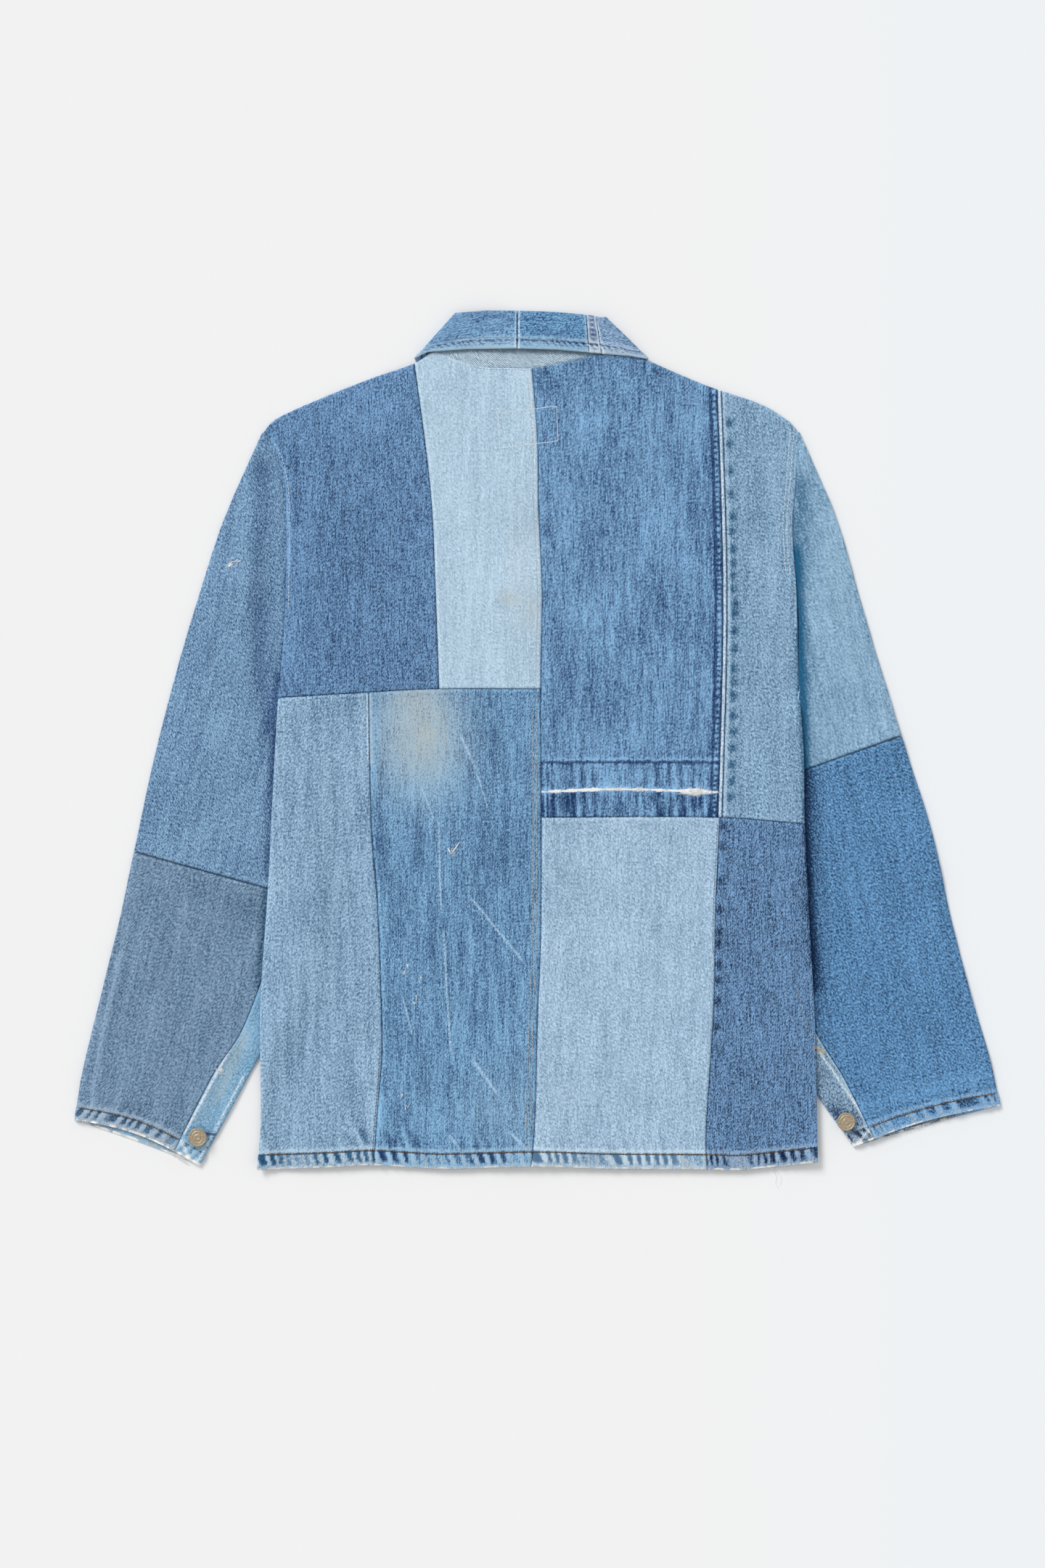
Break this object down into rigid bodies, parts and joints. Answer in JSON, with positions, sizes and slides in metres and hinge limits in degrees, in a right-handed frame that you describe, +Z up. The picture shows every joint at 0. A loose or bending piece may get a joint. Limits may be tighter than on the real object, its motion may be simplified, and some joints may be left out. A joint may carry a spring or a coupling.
{
  "type": "patched boro jacket",
  "caption": "Long-sleeved jacket pieced from worn denim panels, with a turned-down collar and cuff buttons, laid flat with its back upwards.",
  "frame": {"origin": "middle of the laid-out jacket, on the surface it lies on", "axes": "+Z up from that surface, +Y from hem to collar, +X across the shoulders to the right sleeve as seen from above"},
  "size_m": [0.83, 0.7696, 0.0101],
  "materials": {
    "back_upper_left": "matt worn denim",
    "back_upper_pale": "matt worn denim",
    "back_upper_mid": "matt worn denim",
    "back_seam_strip": "matt worn denim",
    "back_upper_right": "matt worn denim",
    "back_lower_left": "matt worn denim",
    "back_lower_stained": "matt worn denim",
    "back_lower_pale": "matt worn denim",
    "back_lower_slate": "matt worn denim",
    "front_left": "matt worn denim",
    "front_right": "matt worn denim",
    "sleeve_left_upper": "matt worn denim",
    "sleeve_left_lower": "matt worn denim",
    "sleeve_left_under": "matt worn denim",
    "sleeve_right_upper": "matt worn denim",
    "sleeve_right_lower": "matt worn denim",
    "sleeve_right_under": "matt worn denim",
    "cuff_button_left": "antique metal, worn",
    "cuff_button_right": "antique metal, worn",
    "collar_left": "matt worn denim",
    "collar_centre": "matt worn denim",
    "collar_seam_band": "matt worn denim",
    "collar_right": "matt worn denim",
    "collar_stand": "matt worn denim"
  },
  "bodies": {
    "root": {"back_upper_left": "back_upper_left", "back_upper_pale": "back_upper_pale", "back_upper_mid": "back_upper_mid", "back_seam_strip": "back_seam_strip", "back_upper_right": "back_upper_right", "back_lower_left": "back_lower_left", "back_lower_stained": "back_lower_stained", "back_lower_pale": "back_lower_pale", "back_lower_slate": "back_lower_slate", "front_left": "front_left", "front_right": "front_right", "sleeve_left_upper": "sleeve_left_upper", "sleeve_left_lower": "sleeve_left_lower", "sleeve_left_under": "sleeve_left_under", "sleeve_right_upper": "sleeve_right_upper", "sleeve_right_lower": "sleeve_right_lower", "sleeve_right_under": "sleeve_right_under", "cuff_button_left": "cuff_button_left", "cuff_button_right": "cuff_button_right", "collar_left": "collar_left", "collar_centre": "collar_centre", "collar_seam_band": "collar_seam_band", "collar_right": "collar_right", "collar_stand": "collar_stand"}
  },
  "joints": []
}
